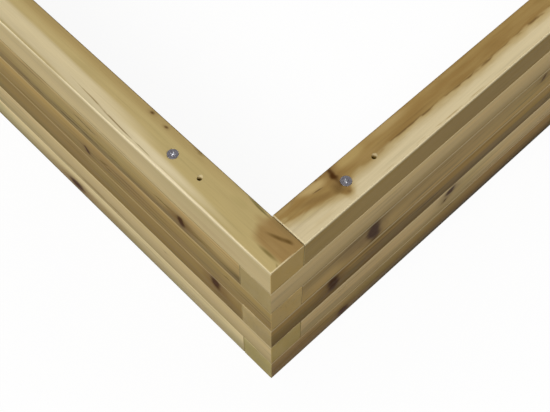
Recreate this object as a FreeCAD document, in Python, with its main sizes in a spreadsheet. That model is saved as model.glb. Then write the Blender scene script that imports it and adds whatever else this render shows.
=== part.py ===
"""Raised garden bed: a rectangular frame of square planed timbers, stacked in courses.

Each course is four beams. Two of them run through to the outer corners and the other
two are butt-jointed between them, and the courses alternate, so a corner shows end
grain on one wall and long grain on the other, turn about. Every beam is drilled
through twice near each end. A countersunk screw goes down one of the two holes and
bites into the same wall's beam below; the other hole stays free and lies over the
head of the screw in the course below. Hidden dowels pin the through beams to each
other where they cross at the corners. The bed is open at the top and at the ground.

Frame: millimetres, origin on the ground at the middle of the bed, +X along the longer
walls (front and back), +Y from the front wall to the back wall, +Z up.
"""
import FreeCAD, Part
import os
import Sketcher

OUTPUT_FOLDER = "parts"

# name of the size, its value, what it is
SIZES = [
    ("bed_length", 1200.0, "outer length of the bed, along X"),
    ("bed_width", 800.0, "outer width of the bed, along Y"),
    ("course_count", 6, "courses of timber, ground to rim"),
    ("beam_width", 45.0, "thickness of a beam across its wall"),
    ("beam_height", 45.0, "height of a beam, one course"),
    ("arris_radius", 1.5, "rounding of a beam's four long edges"),
    ("end_chamfer", 0.6, "easing of the edges of the sawn ends"),
    ("butt_gap", 0.5, "open joint between a butt-jointed end and the through beam"),
    ("hole_setback", 125.0, "outer corner of the bed to the nearer hole"),
    ("hole_spacing", 40.0, "nearer hole to farther hole"),
    ("pilot_diameter", 5.5, "hole drilled through the beam"),
    ("screw_diameter", 6.0, "shank of the screw"),
    ("screw_bite", 35.0, "depth that a screw reaches into the beam below"),
    ("screw_tip", 7.0, "length of the screw's point"),
    ("head_diameter", 12.2, "countersunk head of the screw"),
    ("head_rim", 0.4, "upright rim around the head"),
    ("recess_span", 6.6, "cross recess in the head, tip to tip"),
    ("recess_slot", 1.6, "width of one arm of the recess"),
    ("recess_depth", 2.6, "depth of the recess"),
    ("screw_clearance", 0.1, "gap between a screw and the timber all round"),
    ("dowel_diameter", 10.0, "hidden corner dowel"),
    ("dowel_length", 30.0, "length of the dowel, half in each beam"),
    ("dowel_chamfer", 1.2, "chamfer on the dowel's ends"),
    ("dowel_clearance", 0.1, "gap between a dowel and its hole all round"),
    ("dowel_end_gap", 0.6, "room past each end of the dowel"),
]

# Sizes worked out from the ones above, as expressions for the document.
SCREW_LENGTH = "(Sizes.beam_height + Sizes.screw_bite)"
SHANK_BORE = "(Sizes.screw_diameter + 2 * Sizes.screw_clearance)"
COUNTERSINK_ANGLE = 90.0
COUNTERSINK = "(Sizes.head_diameter + 2 * (Sizes.head_rim + 2 * Sizes.screw_clearance))"
HEAD_CONE = "((Sizes.head_diameter - Sizes.screw_diameter) / 2)"
BITE_DEPTH = "(Sizes.screw_bite + Sizes.screw_clearance)"
DOWEL_BORE = "(Sizes.dowel_diameter + 2 * Sizes.dowel_clearance)"
DOWEL_DEPTH = "(Sizes.dowel_length / 2 + Sizes.dowel_end_gap)"
HALF_LENGTH = "(Sizes.bed_length / 2)"
HALF_WIDTH = "(Sizes.bed_width / 2)"
HALF_BEAM = "(Sizes.beam_width / 2)"

# wall, half of the wall's outer length, distance of its centre line from the middle,
# which side of the middle it is on, and its turn about Z in degrees
WALLS = [
    ("front", HALF_LENGTH, HALF_WIDTH, -1, 0.0),
    ("back", HALF_LENGTH, HALF_WIDTH, 1, 0.0),
    ("left", HALF_WIDTH, HALF_LENGTH, -1, 90.0),
    ("right", HALF_WIDTH, HALF_LENGTH, 1, 90.0),
]

UP = FreeCAD.Vector(0, 0, 1)
ON_EDGE = 0.001

doc = FreeCAD.newDocument("raised_garden_bed")


def make_sheet():
    """The spreadsheet of driving sizes: name, value, meaning, with the value aliased."""
    sheet = doc.addObject("Spreadsheet::Sheet", "Sizes")
    for row, (name, value, meaning) in enumerate(SIZES, start=1):
        sheet.set(f"A{row}", name)
        sheet.set(f"B{row}", str(value))
        sheet.set(f"C{row}", meaning)
        sheet.setAlias(f"B{row}", name)
    doc.recompute()
    return sheet


def add_sketch(body, name, plane, level=None):
    """A sketch on one of the body's own planes, raised along the plane's normal to level."""
    sketch = body.newObject("Sketcher::SketchObject", name)
    support = next(item for item in body.Origin.OriginFeatures if item.Role == plane)
    sketch.AttachmentSupport = [(support, "")]
    sketch.MapMode = "FlatFace"
    if level:
        sketch.setExpression("AttachmentOffset.Base.z", level)
    return sketch


def bind(sketch, name, constraint, expression):
    """Add a dimension to the sketch and tie it to an expression."""
    index = sketch.addConstraint(constraint)
    sketch.renameConstraint(index, name)
    sketch.setExpression(f"Constraints.{name}", expression)


def draw_rectangle(sketch, across, along, centred):
    """A rectangle centred on the sketch's vertical axis. It stands on the horizontal
    axis, or is centred on that too."""
    low = -1 if centred else 0
    corners = [(-1, low), (1, low), (1, 1), (-1, 1)]
    points = [FreeCAD.Vector(x, y, 0) for x, y in corners]
    for start, end in zip(points, points[1:] + points[:1]):
        sketch.addGeometry(Part.LineSegment(start, end), False)
    for side in range(4):
        sketch.addConstraint(Sketcher.Constraint("Coincident", side, 2, (side + 1) % 4, 1))
    for side in (1, 3):
        sketch.addConstraint(Sketcher.Constraint("Vertical", side))
    sketch.addConstraint(Sketcher.Constraint("Horizontal", 2))
    if centred:
        sketch.addConstraint(Sketcher.Constraint("Horizontal", 0))
        sketch.addConstraint(Sketcher.Constraint("Symmetric", 0, 1, 2, 1, -1, 1))
    else:
        sketch.addConstraint(Sketcher.Constraint("PointOnObject", 0, 1, -1))
        sketch.addConstraint(Sketcher.Constraint("Symmetric", 0, 1, 0, 2, -2))
    bind(sketch, "across", Sketcher.Constraint("DistanceX", 0, 1, 0, 2, 2.0), across)
    bind(sketch, "along", Sketcher.Constraint("DistanceY", 1, 1, 1, 2, 1.0), along)


def draw_circle_pair(sketch, offset, diameter):
    """Two equal circles on the horizontal axis, one each side of the middle."""
    start_offset = 100.0
    start_radius = 3.0
    for place in (start_offset, -start_offset):
        circle = Part.Circle(FreeCAD.Vector(place, 0, 0), UP, start_radius)
        sketch.addGeometry(circle, False)
    sketch.addConstraint(Sketcher.Constraint("PointOnObject", 0, 3, -1))
    sketch.addConstraint(Sketcher.Constraint("Symmetric", 0, 3, 1, 3, -2))
    sketch.addConstraint(Sketcher.Constraint("Equal", 0, 1))
    distance = Sketcher.Constraint("DistanceX", -1, 1, 0, 3, start_offset)
    bind(sketch, "offset", distance, offset)
    bind(sketch, "bore", Sketcher.Constraint("Diameter", 0, 2 * start_radius), diameter)


def draw_profile(sketch, points):
    """A closed outline through points given as pairs of expressions. None stands for a
    coordinate on the axis."""
    count = len(points)
    guesses = []
    for index, (across, along) in enumerate(points):
        guesses.append(FreeCAD.Vector(1 if across else 0, index + 1 if along else 0, 0))
    for start, end in zip(guesses, guesses[1:] + guesses[:1]):
        sketch.addGeometry(Part.LineSegment(start, end), False)
    for side in range(count):
        next_side = (side + 1) % count
        sketch.addConstraint(Sketcher.Constraint("Coincident", side, 2, next_side, 1))
    for index, (across, along) in enumerate(points):
        if across:
            width = Sketcher.Constraint("DistanceX", -1, 1, index, 1, 1.0)
            bind(sketch, f"across{index}", width, across)
        else:
            sketch.addConstraint(Sketcher.Constraint("PointOnObject", index, 1, -2))
        if along:
            height = Sketcher.Constraint("DistanceY", -1, 1, index, 1, index + 1.0)
            bind(sketch, f"along{index}", height, along)
        else:
            sketch.addConstraint(Sketcher.Constraint("PointOnObject", index, 1, -1))


def cut_pocket(body, name, sketch, depth=None, upward=False):
    """Cut the sketch down into the body, or up, to a depth or right through."""
    pocket = body.newObject("PartDesign::Pocket", name)
    pocket.Profile = sketch
    pocket.Reversed = upward
    if depth:
        pocket.setExpression("Length", depth)
    else:
        pocket.Type = "ThroughAll"
    return pocket


def edge_names(shape, keep):
    """Names of the shape's edges for which keep(edge) holds."""
    return [f"Edge{number}" for number, edge in enumerate(shape.Edges, start=1) if keep(edge)]


def make_blank(body, half):
    """A plain beam of the given half length along X: the square section, its long
    edges rounded and its sawn ends eased."""
    section = add_sketch(body, "section", "YZ_Plane")
    draw_rectangle(section, "Sizes.beam_width", "Sizes.beam_height", centred=False)
    pad = body.newObject("PartDesign::Pad", "timber")
    pad.Profile = section
    pad.SideType = "Symmetric"
    pad.setExpression("Length", f"2 * {half}")
    doc.recompute()

    rounding = body.newObject("PartDesign::Fillet", "arrises")
    length = pad.Shape.BoundBox.XLength
    rounding.Base = (pad, edge_names(pad.Shape, lambda edge: edge.BoundBox.XLength > length - ON_EDGE))
    rounding.setExpression("Radius", "Sizes.arris_radius")
    doc.recompute()

    easing = body.newObject("PartDesign::Chamfer", "sawn_ends")
    easing.Base = (rounding, edge_names(rounding.Shape, lambda edge: edge.BoundBox.XLength < ON_EDGE))
    easing.setExpression("Size", "Sizes.end_chamfer")


def drill_screw_holes(body, offset):
    """Countersunk bores for the beam's own two screws."""
    sketch = add_sketch(body, "screw_places", "XY_Plane", "Sizes.beam_height")
    draw_circle_pair(sketch, offset, SHANK_BORE)
    doc.recompute()
    hole = body.newObject("PartDesign::Hole", "screw_holes")
    hole.Profile = sketch
    hole.Threaded = False
    hole.DepthType = "ThroughAll"
    hole.setExpression("Diameter", SHANK_BORE)
    hole.HoleCutType = "Countersink"
    hole.HoleCutCountersinkAngle = COUNTERSINK_ANGLE
    hole.setExpression("HoleCutDiameter", COUNTERSINK)


def drill_pilot_holes(body, name, offset):
    """Plain holes right through the beam."""
    sketch = add_sketch(body, f"{name}_places", "XY_Plane", "Sizes.beam_height")
    draw_circle_pair(sketch, offset, "Sizes.pilot_diameter")
    cut_pocket(body, name, sketch)


def drill_bitten_bores(body, offset):
    """The upper part of two pilot holes, widened by the screws of the course above."""
    sketch = add_sketch(body, "bite_places", "XY_Plane", "Sizes.beam_height")
    draw_circle_pair(sketch, offset, SHANK_BORE)
    cut_pocket(body, "bitten_bores", sketch, depth=BITE_DEPTH)


def drill_dowel_holes(body, half, on_top):
    """Blind holes for the corner dowels, in the top of the beam or in its underside."""
    side = "upper" if on_top else "lower"
    level = "Sizes.beam_height" if on_top else None
    sketch = add_sketch(body, f"{side}_dowel_places", "XY_Plane", level)
    draw_circle_pair(sketch, f"{half} - {HALF_BEAM}", DOWEL_BORE)
    cut_pocket(body, f"{side}_dowel_holes", sketch, depth=DOWEL_DEPTH, upward=not on_top)


def make_beam(label, wall, course, through):
    """One beam of a course, lying in its wall."""
    half_wall, centre_line, side, turn = wall
    half = half_wall if through else f"({half_wall} - Sizes.beam_width - Sizes.butt_gap)"
    near_hole = f"{half_wall} - Sizes.hole_setback"
    far_hole = f"{near_hole} - Sizes.hole_spacing"
    screwed, free = (far_hole, near_hole) if through else (near_hole, far_hole)

    body = doc.addObject("PartDesign::Body", label)
    body.Label = label
    make_blank(body, half)
    if course > 1:
        drill_screw_holes(body, screwed)
    else:
        drill_pilot_holes(body, "unused_pilot_holes", screwed)
    drill_pilot_holes(body, "pilot_holes", free)
    if course < course_count:
        drill_bitten_bores(body, free)
    if through and course < course_count:
        drill_dowel_holes(body, half, on_top=True)
    if through and course > 1:
        drill_dowel_holes(body, half, on_top=False)

    across = "y" if turn == 0.0 else "x"
    body.Placement.Rotation = FreeCAD.Rotation(UP, turn)
    body.setExpression(f"Placement.Base.{across}", f"{side} * ({centre_line} - {HALF_BEAM})")
    body.setExpression("Placement.Base.z", f"{course - 1} * Sizes.beam_height")
    return body


def make_screw():
    """One countersunk screw with a cross recess, point at the origin, head up."""
    body = doc.addObject("PartDesign::Body", "screw")
    profile = add_sketch(body, "screw_profile", "XZ_Plane")
    shank = "Sizes.screw_diameter / 2"
    head = "Sizes.head_diameter / 2"
    rim = f"{SCREW_LENGTH} - Sizes.head_rim"
    draw_profile(profile, [
        (None, None),
        (shank, "Sizes.screw_tip"),
        (shank, f"{rim} - {HEAD_CONE}"),
        (head, rim),
        (head, SCREW_LENGTH),
        (None, SCREW_LENGTH),
    ])
    turned = body.newObject("PartDesign::Revolution", "turned_screw")
    turned.Profile = profile
    turned.ReferenceAxis = (profile, ["V_Axis"])
    turned.Angle = 360.0
    for arm, (across, along) in {
        "first_arm": ("Sizes.recess_span", "Sizes.recess_slot"),
        "second_arm": ("Sizes.recess_slot", "Sizes.recess_span"),
    }.items():
        outline = add_sketch(body, f"{arm}_outline", "XY_Plane", SCREW_LENGTH)
        draw_rectangle(outline, across, along, centred=True)
        cut_pocket(body, arm, outline, depth="Sizes.recess_depth")
    return body


def make_dowel():
    """One wooden dowel with chamfered ends, standing on the origin."""
    body = doc.addObject("PartDesign::Body", "dowel")
    outline = add_sketch(body, "dowel_outline", "XY_Plane")
    outline.addGeometry(Part.Circle(FreeCAD.Vector(0, 0, 0), UP, 1.0), False)
    outline.addConstraint(Sketcher.Constraint("Coincident", 0, 3, -1, 1))
    bind(outline, "thickness", Sketcher.Constraint("Diameter", 0, 2.0), "Sizes.dowel_diameter")
    rod = body.newObject("PartDesign::Pad", "rod")
    rod.Profile = outline
    rod.setExpression("Length", "Sizes.dowel_length")
    doc.recompute()
    ends = body.newObject("PartDesign::Chamfer", "rod_ends")
    ends.Base = (rod, edge_names(rod.Shape, lambda edge: edge.BoundBox.ZLength < ON_EDGE))
    ends.setExpression("Size", "Sizes.dowel_chamfer")
    return body


def make_group(label, master, places, level):
    """Like fasteners as one sub-part: a copy of the master at each place (distances from
    the middle of the bed) in all four corners, with its foot at level."""
    copies = []
    for across, along in places:
        for side_x, side_y in ((-1, -1), (1, -1), (1, 1), (-1, 1)):
            copy = doc.addObject("App::Link", f"{label}_copy")
            copy.LinkedObject = master
            copy.setExpression("Placement.Base.x", f"{side_x} * ({across})")
            copy.setExpression("Placement.Base.y", f"{side_y} * ({along})")
            copy.setExpression("Placement.Base.z", level)
            copies.append(copy)
    group = doc.addObject("Part::Compound", label)
    group.Label = label
    group.Links = copies
    return group


def make_screws(course, master, long_walls_through):
    """The eight screws that hold one course down: through beams at their farther holes,
    butt-jointed beams at their nearer ones."""
    near_hole = "Sizes.hole_setback"
    far_hole = "(Sizes.hole_setback + Sizes.hole_spacing)"
    on_long, on_short = (far_hole, near_hole) if long_walls_through else (near_hole, far_hole)
    places = [
        (f"{HALF_LENGTH} - {on_long}", f"{HALF_WIDTH} - {HALF_BEAM}"),
        (f"{HALF_LENGTH} - {HALF_BEAM}", f"{HALF_WIDTH} - {on_short}"),
    ]
    level = f"{course} * Sizes.beam_height - {SCREW_LENGTH}"
    return make_group(f"course_{course}_screws", master, places, level)


def make_dowels(course, master):
    """The four dowels that pin one course to the course below, one at each corner."""
    places = [(f"{HALF_LENGTH} - {HALF_BEAM}", f"{HALF_WIDTH} - {HALF_BEAM}")]
    level = f"{course - 1} * Sizes.beam_height - Sizes.dowel_length / 2"
    return make_group(f"course_{course}_corner_dowels", master, places, level)


def long_walls_run_through(course):
    """In the rim course the short walls' beams run through, and each course below is
    laid the other way round from the one on top of it."""
    return (course_count - course) % 2 == 1


def check_document():
    """Stop if any object failed, or if a cut took nothing away."""
    for item in doc.Objects:
        if "Invalid" in item.State or "Error" in item.State:
            raise RuntimeError(f"{item.Name} failed: {item.State}")
        if item.TypeId in ("PartDesign::Pocket", "PartDesign::Hole"):
            if item.Shape.Volume >= item.BaseFeature.Shape.Volume:
                raise RuntimeError(f"{item.Name} cuts nothing")


def export(nodes):
    """Write each sub-part to its own file, once all of them are sound."""
    for node in nodes:
        if node.Shape.isNull() or not node.Shape.isValid():
            raise RuntimeError(f"{node.Label} has no sound shape")
    os.makedirs(OUTPUT_FOLDER, exist_ok=True)
    for node in nodes:
        node.Shape.exportStep(os.path.join(OUTPUT_FOLDER, f"{node.Label}.step"))
        box = node.Shape.BoundBox
        print(f"{node.Label}: {len(node.Shape.Solids)} solid(s), {node.Shape.Volume:.0f} mm3,"
              f" z {box.ZMin:.2f} to {box.ZMax:.2f}")


sheet = make_sheet()
course_count = int(sheet.get("course_count"))

sub_parts = []
for course in range(1, course_count + 1):
    long_through = long_walls_run_through(course)
    for name, half_wall, centre_line, side, turn in WALLS:
        on_long_wall = turn == 0.0
        through = on_long_wall == long_through
        wall = (half_wall, centre_line, side, turn)
        sub_parts.append(make_beam(f"course_{course}_{name}_beam", wall, course, through))

screw = make_screw()
dowel = make_dowel()
for course in range(2, course_count + 1):
    sub_parts.append(make_screws(course, screw, long_walls_run_through(course)))
    sub_parts.append(make_dowels(course, dowel))

doc.recompute()
check_document()
export(sub_parts)
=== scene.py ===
"""Looks of a raised garden bed made of stacked, pressure-treated pine beams."""

import math
import random

import bmesh
import bpy
from mathutils import Matrix, Vector


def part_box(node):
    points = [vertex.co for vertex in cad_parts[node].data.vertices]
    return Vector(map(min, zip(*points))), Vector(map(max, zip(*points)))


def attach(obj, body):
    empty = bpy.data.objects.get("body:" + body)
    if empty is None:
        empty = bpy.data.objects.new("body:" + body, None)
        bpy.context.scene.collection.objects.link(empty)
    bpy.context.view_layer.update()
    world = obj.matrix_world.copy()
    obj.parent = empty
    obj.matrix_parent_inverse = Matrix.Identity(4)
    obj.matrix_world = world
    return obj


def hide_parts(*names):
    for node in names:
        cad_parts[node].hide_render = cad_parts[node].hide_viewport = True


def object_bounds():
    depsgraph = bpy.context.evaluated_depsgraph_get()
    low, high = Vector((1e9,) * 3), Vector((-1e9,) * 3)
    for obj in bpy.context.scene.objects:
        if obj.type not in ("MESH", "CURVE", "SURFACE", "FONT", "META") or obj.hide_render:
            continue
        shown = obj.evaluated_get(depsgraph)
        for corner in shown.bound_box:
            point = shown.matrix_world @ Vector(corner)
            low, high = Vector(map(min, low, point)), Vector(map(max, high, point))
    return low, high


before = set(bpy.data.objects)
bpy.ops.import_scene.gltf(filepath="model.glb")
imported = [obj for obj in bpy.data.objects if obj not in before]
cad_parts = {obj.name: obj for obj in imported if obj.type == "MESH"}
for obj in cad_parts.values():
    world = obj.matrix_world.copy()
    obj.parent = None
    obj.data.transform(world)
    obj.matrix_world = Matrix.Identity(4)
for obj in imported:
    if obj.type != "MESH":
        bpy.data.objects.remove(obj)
cad_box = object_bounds()

MM = 0.001
COURSES = 6
BED_LOW, BED_HIGH = cad_box
BEAM_HEIGHT = (BED_HIGH.z - BED_LOW.z) / COURSES
BEAM_WIDTH = BEAM_HEIGHT

# Planed timber
ARRIS_RADIUS = 1.5 * MM
END_CHAMFER = 0.6 * MM
CHECK_DEPTH = 4.0 * MM

# Fastenings, and the holes drilled for them. A head is hollowed a little in its middle,
# and its rounded edge goes through points this far in from its rim and down from its
# top. The driver's cross narrows to RECESS_FOOT of its span and of its slot.
HOLE_SETBACK = 125.0 * MM
HOLE_SPACING = 40.0 * MM
PILOT_DIAMETER = 5.5 * MM
SHANK_BORE = 6.2 * MM
COUNTERSINK_DIAMETER = 13.4 * MM
SCREW_BITE = 35.1 * MM
DOWEL_BORE = 10.2 * MM
DOWEL_BORE_DEPTH = 15.6 * MM
HEAD_DIAMETER = 12.2 * MM
HEAD_RIM = 0.4 * MM
HEAD_EDGE = ((0.9 * MM, 0.0), (0.45 * MM, 0.03 * MM), (0.12 * MM, 0.16 * MM))
HEAD_HOLLOW = 0.06 * MM
SHANK_DIAMETER = 6.0 * MM
SCREW_LENGTH = 80.0 * MM
SCREW_POINT = 7.0 * MM
RECESS_SPAN = 6.6 * MM
RECESS_SLOT = 1.6 * MM
RECESS_DEPTH = 2.6 * MM
RECESS_FOOT = (0.42, 0.75)
OVERCUT = 1.0 * MM

# The drill tore the far side of each empty hole's mouth: where, from the hole's
# middle, and the half sizes of the dish that came out.
TEAR_AWAY = (1.9 * MM, 0.9 * MM, 0.0)
TEAR_SIZES = (2.7 * MM, 2.7 * MM, 1.3 * MM)

# The photographed corner is the front-left one. The camera stands outside it and
# looks steeply down.
CAMERA_FROM_CORNER = Vector((-0.3253, -0.3431, 1.2283))
CAMERA_AZIMUTH = 46.03
CAMERA_ELEVATION = 60.28
SENSOR_WIDTH = 36.0
FOCAL_LENGTH = 74.08

# Each sun: where it shines from, its strength and its softness in degrees. The sky:
# its strength where it is seen, and as a lamp. The floor: its half width, how far it
# lies under the bed, and the share of its white that shadows can darken.
KEY_SUN = ((-0.42, -0.14, 0.60), 0.70 * math.pi, 30.0)
FILL_SUN = ((0.45, 0.40, 0.50), 0.22 * math.pi, 60.0)
SKY_SEEN, SKY_AS_LAMP = 1.0, 0.3
FLOOR_REACH = 30.0
FLOOR_DROP = 0.5 * MM
FLOOR_SHADE = 0.08

# Colours, linear
WHITE = (1.0, 1.0, 1.0, 1)
FLOOR_PALE = (0.95, 0.95, 0.95, 1)
FLOOR_BOUNCE = (0.25, 0.25, 0.245, 1)
# Cream of the outer arrises and end chamfers: rubbed wear with a painted highlight
ARRIS_WEAR_AND_HIGHLIGHT = (0.84, 0.72, 0.46, 1)
KNOT_HEART = (0.060, 0.022, 0.004, 1)
KNOT_HALO = (0.20, 0.115, 0.042, 1)
# Painted shade in the drying checks
CHECK_SHADE = (0.050, 0.030, 0.010, 1)
# Pale torn fibres with a painted highlight on the far side of a hole's mouth
TORN_FIBRE_AND_HIGHLIGHT = (0.86, 0.76, 0.50, 1)
# Painted shade down the empty holes
HOLE_SHADE = (0.190, 0.118, 0.018, 1)
# Painted shade in brown on inner arrises, lower arrises and seams
EDGE_SHADE_BROWN = (0.19, 0.120, 0.041, 1)
HEART_LINE = (0.15, 0.085, 0.028, 1)
HEART_TAN = (0.40, 0.28, 0.102, 1)
TREATED_GREEN = (0.33, 0.31, 0.11, 1)
OLIVE = (0.19, 0.155, 0.055)
DARK_BROWN = (0.085, 0.048, 0.020)
BATCH_DARK = (0.33, 0.22, 0.09)
BATCH_PALE = (0.70, 0.57, 0.30)
SLATE_DARK = (0.068, 0.064, 0.073, 1)
SLATE_PALE = (0.128, 0.121, 0.132, 1)
# Bright wear with a painted glint, and dull patches of painted shade, below the screws' head tops
DULL_WEAR_AND_SHADE = (0.10, 0.10, 0.11, 1)
BRIGHT_WEAR_AND_GLINT = (0.95, 0.95, 0.97, 1)
BEECH_DARK = (0.56, 0.37, 0.20, 1)
BEECH_PALE = (0.66, 0.47, 0.27, 1)
BEECH_PORE = (0.33, 0.19, 0.09, 1)

# How far the wood's outlines and rings stray, along, in depth and in height, how far
# ripples and knots push the rings, and how much thicker a knot's halo is than the knot
OUTLINE_WANDER = (16 * MM, 5 * MM, 5 * MM)
RING_DRIFT = (0, 22 * MM, 22 * MM)
RING_RIPPLE = 3 * MM
RING_PUSH = 7 * MM
HALO_GIRTH = 1.5


# -------------------- node wiring

class Wires:
    """Adds nodes to one node tree and joins them up."""

    def __init__(self, tree):
        self.tree = tree
        tree.nodes.clear()

    def node(self, kind, **settings):
        made = self.tree.nodes.new(kind)
        for name, value in settings.items():
            setattr(made, name, value)
        return made

    def feed(self, socket, value):
        """Join value to the socket if it is a socket itself, or set it there."""
        if isinstance(value, bpy.types.NodeSocket):
            self.tree.links.new(value, socket)
        elif value is not None:
            socket.default_value = value

    def math(self, operation, first, second=None, third=None, clamp=False):
        made = self.node("ShaderNodeMath", operation=operation, use_clamp=clamp)
        for socket, value in zip(made.inputs, (first, second, third)):
            self.feed(socket, value)
        return made.outputs[0]

    def times(self, *factors):
        """The factors multiplied together."""
        product = factors[0]
        for factor in factors[1:]:
            product = self.math("MULTIPLY", product, factor)
        return product

    def gap(self, first, second):
        """How far apart two values are."""
        return self.math("ABSOLUTE", self.math("SUBTRACT", first, second))

    def vector(self, operation, first, second=None):
        made = self.node("ShaderNodeVectorMath", operation=operation)
        self.feed(made.inputs[0], first)
        self.feed(made.inputs[1], second)
        return made.outputs["Value" if operation == "LENGTH" else "Vector"]

    def split(self, vector):
        made = self.node("ShaderNodeSeparateXYZ")
        self.feed(made.inputs[0], vector)
        return made.outputs[0], made.outputs[1], made.outputs[2]

    def join(self, first, second, third):
        made = self.node("ShaderNodeCombineXYZ")
        for socket, value in zip(made.inputs, (first, second, third)):
            self.feed(socket, value)
        return made.outputs[0]

    def place(self, vector, shift=(0, 0, 0), stretch=(1, 1, 1)):
        """The vector stretched, then shifted."""
        made = self.node("ShaderNodeMapping")
        self.feed(made.inputs["Vector"], vector)
        self.feed(made.inputs["Location"], shift)
        self.feed(made.inputs["Scale"], stretch)
        return made.outputs[0]

    def noise(self, vector, repeats, detail=2.0, roughness=0.5, colour=False):
        """Cloudy noise from 0 to 1, with this many repeats a metre along each axis."""
        made = self.node("ShaderNodeTexNoise")
        self.feed(made.inputs["Vector"], self.vector("MULTIPLY", vector, repeats))
        made.inputs["Scale"].default_value = 1.0
        made.inputs["Detail"].default_value = detail
        made.inputs["Roughness"].default_value = roughness
        return made.outputs["Color" if colour else "Fac"]

    def step(self, value, start, end, low=0.0, high=1.0):
        """A smooth step of value, low at start and high at end."""
        made = self.node("ShaderNodeMapRange", interpolation_type="SMOOTHSTEP", clamp=True)
        for socket, setting in zip(made.inputs, (value, start, end, low, high)):
            self.feed(socket, setting)
        return made.outputs[0]

    def curve(self, value, points):
        """A smooth curve of value through points, level past the last of them."""
        across = points[-1][0]
        tall = max(height for _, height in points)
        made = self.node("ShaderNodeFloatCurve")
        line = made.mapping.curves[0]
        line.points[0].location = (0, points[0][1] / tall)
        line.points[1].location = (1, points[-1][1] / tall)
        for place, height in points[1:-1]:
            line.points.new(place / across, height / tall)
        made.mapping.update()
        self.feed(made.inputs["Value"], self.math("DIVIDE", value, across, clamp=True))
        return self.times(made.outputs[0], tall)

    def mix(self, share, first, second, blend="MIX"):
        made = self.node("ShaderNodeMix", data_type="RGBA", blend_type=blend)
        colours = [socket for socket in made.inputs if socket.type == "RGBA"]
        self.feed(made.inputs[0], share)
        self.feed(colours[0], first)
        self.feed(colours[1], second)
        return next(socket for socket in made.outputs if socket.type == "RGBA")

    def total(self, shares):
        """Shares added up, at most 1."""
        if not shares:
            return None
        summed = shares[0]
        for share in shares[1:]:
            summed = self.math("ADD", summed, share, clamp=True)
        return summed

    def blot(self, place, centre, sizes, turn, soft, blunt=False):
        """1 inside an ellipsoid of these half sizes, or a blunter shape with the same
        half sizes, fading to 0 at its surface."""
        local = self.node("ShaderNodeMapping", vector_type="TEXTURE")
        self.feed(local.inputs["Vector"], place)
        local.inputs["Location"].default_value = centre
        local.inputs["Rotation"].default_value = turn
        local.inputs["Scale"].default_value = sizes
        away = local.outputs[0]
        if blunt:
            away = self.vector("MULTIPLY", away, away)
        return self.step(self.vector("LENGTH", away), 1.0, (1.0 - soft) ** (2 if blunt else 1))


def new_material(name):
    material = bpy.data.materials.new(name)
    material.use_nodes = True
    return material, Wires(material.node_tree)


def finish_surface(wires, colour, roughness, height, depth, **settings):
    """The Principled surface that every finish ends in."""
    surface = wires.node("ShaderNodeBsdfPrincipled")
    wires.feed(surface.inputs["Base Color"], colour)
    wires.feed(surface.inputs["Roughness"], roughness)
    for name, value in settings.items():
        surface.inputs[name.replace("_", " ")].default_value = value
    bump = wires.node("ShaderNodeBump")
    bump.inputs["Strength"].default_value = 1.0
    bump.inputs["Distance"].default_value = depth
    wires.feed(bump.inputs["Height"], height)
    wires.feed(surface.inputs["Normal"], bump.outputs[0])
    output = wires.node("ShaderNodeOutputMaterial")
    wires.feed(output.inputs["Surface"], surface.outputs[0])


# -------------------- the beams' places

class Beam:
    """One beam: its CAD node, where it lies and how its own axes run.

    Its own axes are along (from the left or front end of its wall), depth (in from
    its outer face) and height (up from its underside)."""

    def __init__(self, course, wall):
        self.course = course
        self.wall = wall
        self.node = f"course_{course}_{wall}_beam"
        low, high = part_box(self.node)
        self.floor = low.z
        self.lies_along_x = wall in ("front", "back")
        axis = 0 if self.lies_along_x else 1
        self.start = low[axis] - BED_LOW[axis]
        self.end = high[axis] - BED_LOW[axis]
        self.half = (self.end - self.start) / 2
        self.middle = (self.start + self.end) / 2
        self.through = self.start < MM

    def placing(self):
        """The matrix from the beam's own axes to the bed."""
        inward = 1 if self.wall in ("front", "left") else -1
        if self.lies_along_x:
            outer = BED_LOW.y if inward > 0 else BED_HIGH.y
            return Matrix(((1, 0, 0, BED_LOW.x), (0, inward, 0, outer), (0, 0, 1, self.floor), (0, 0, 0, 1)))
        outer = BED_LOW.x if inward > 0 else BED_HIGH.x
        return Matrix(((0, inward, 0, outer), (1, 0, 0, BED_LOW.y), (0, 0, 1, self.floor), (0, 0, 0, 1)))

    def axes(self, wires):
        """The beam's own axes in its material."""
        coordinates = wires.node("ShaderNodeTexCoord").outputs["Object"]
        back = self.placing().inverted()
        if self.lies_along_x:
            return wires.place(coordinates, shift=back.translation, stretch=(1, back[1][1], 1))
        shift = (back.translation.y, back.translation.x, back.translation.z)
        deep, along, high = wires.split(wires.place(coordinates, shift=shift, stretch=(back[1][0], 1, 1)))
        return wires.join(along, deep, high)

    def holes(self, far):
        """Where along the beam its two nearer or farther holes are."""
        setback = HOLE_SETBACK + (HOLE_SPACING if far else 0.0)
        return setback, 2 * self.middle - setback

    def tear_away(self):
        """Which way the fibres tore off from an empty hole, on the beam's own axes."""
        return self.placing().to_3x3().inverted() @ Vector(TEAR_AWAY)

    def dowels(self):
        """Where along the beam its corner dowels are, if it runs through."""
        if not self.through:
            return ()
        return BEAM_WIDTH / 2, self.end - BEAM_WIDTH / 2


# -------------------- what a beam grew with

class Knot:
    """A branch that the wood grew over. The place of its middle and its half sizes
    along, in depth and in height are in millimetres."""

    def __init__(self, along, depth, height, sizes, slant=0.0, dark=1.0, flame=3.0):
        self.centre = (along * MM, depth * MM, height * MM)
        self.sizes = tuple(size * MM for size in sizes)
        self.slant = math.radians(slant)
        self.dark = dark
        self.flame = flame


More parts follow.
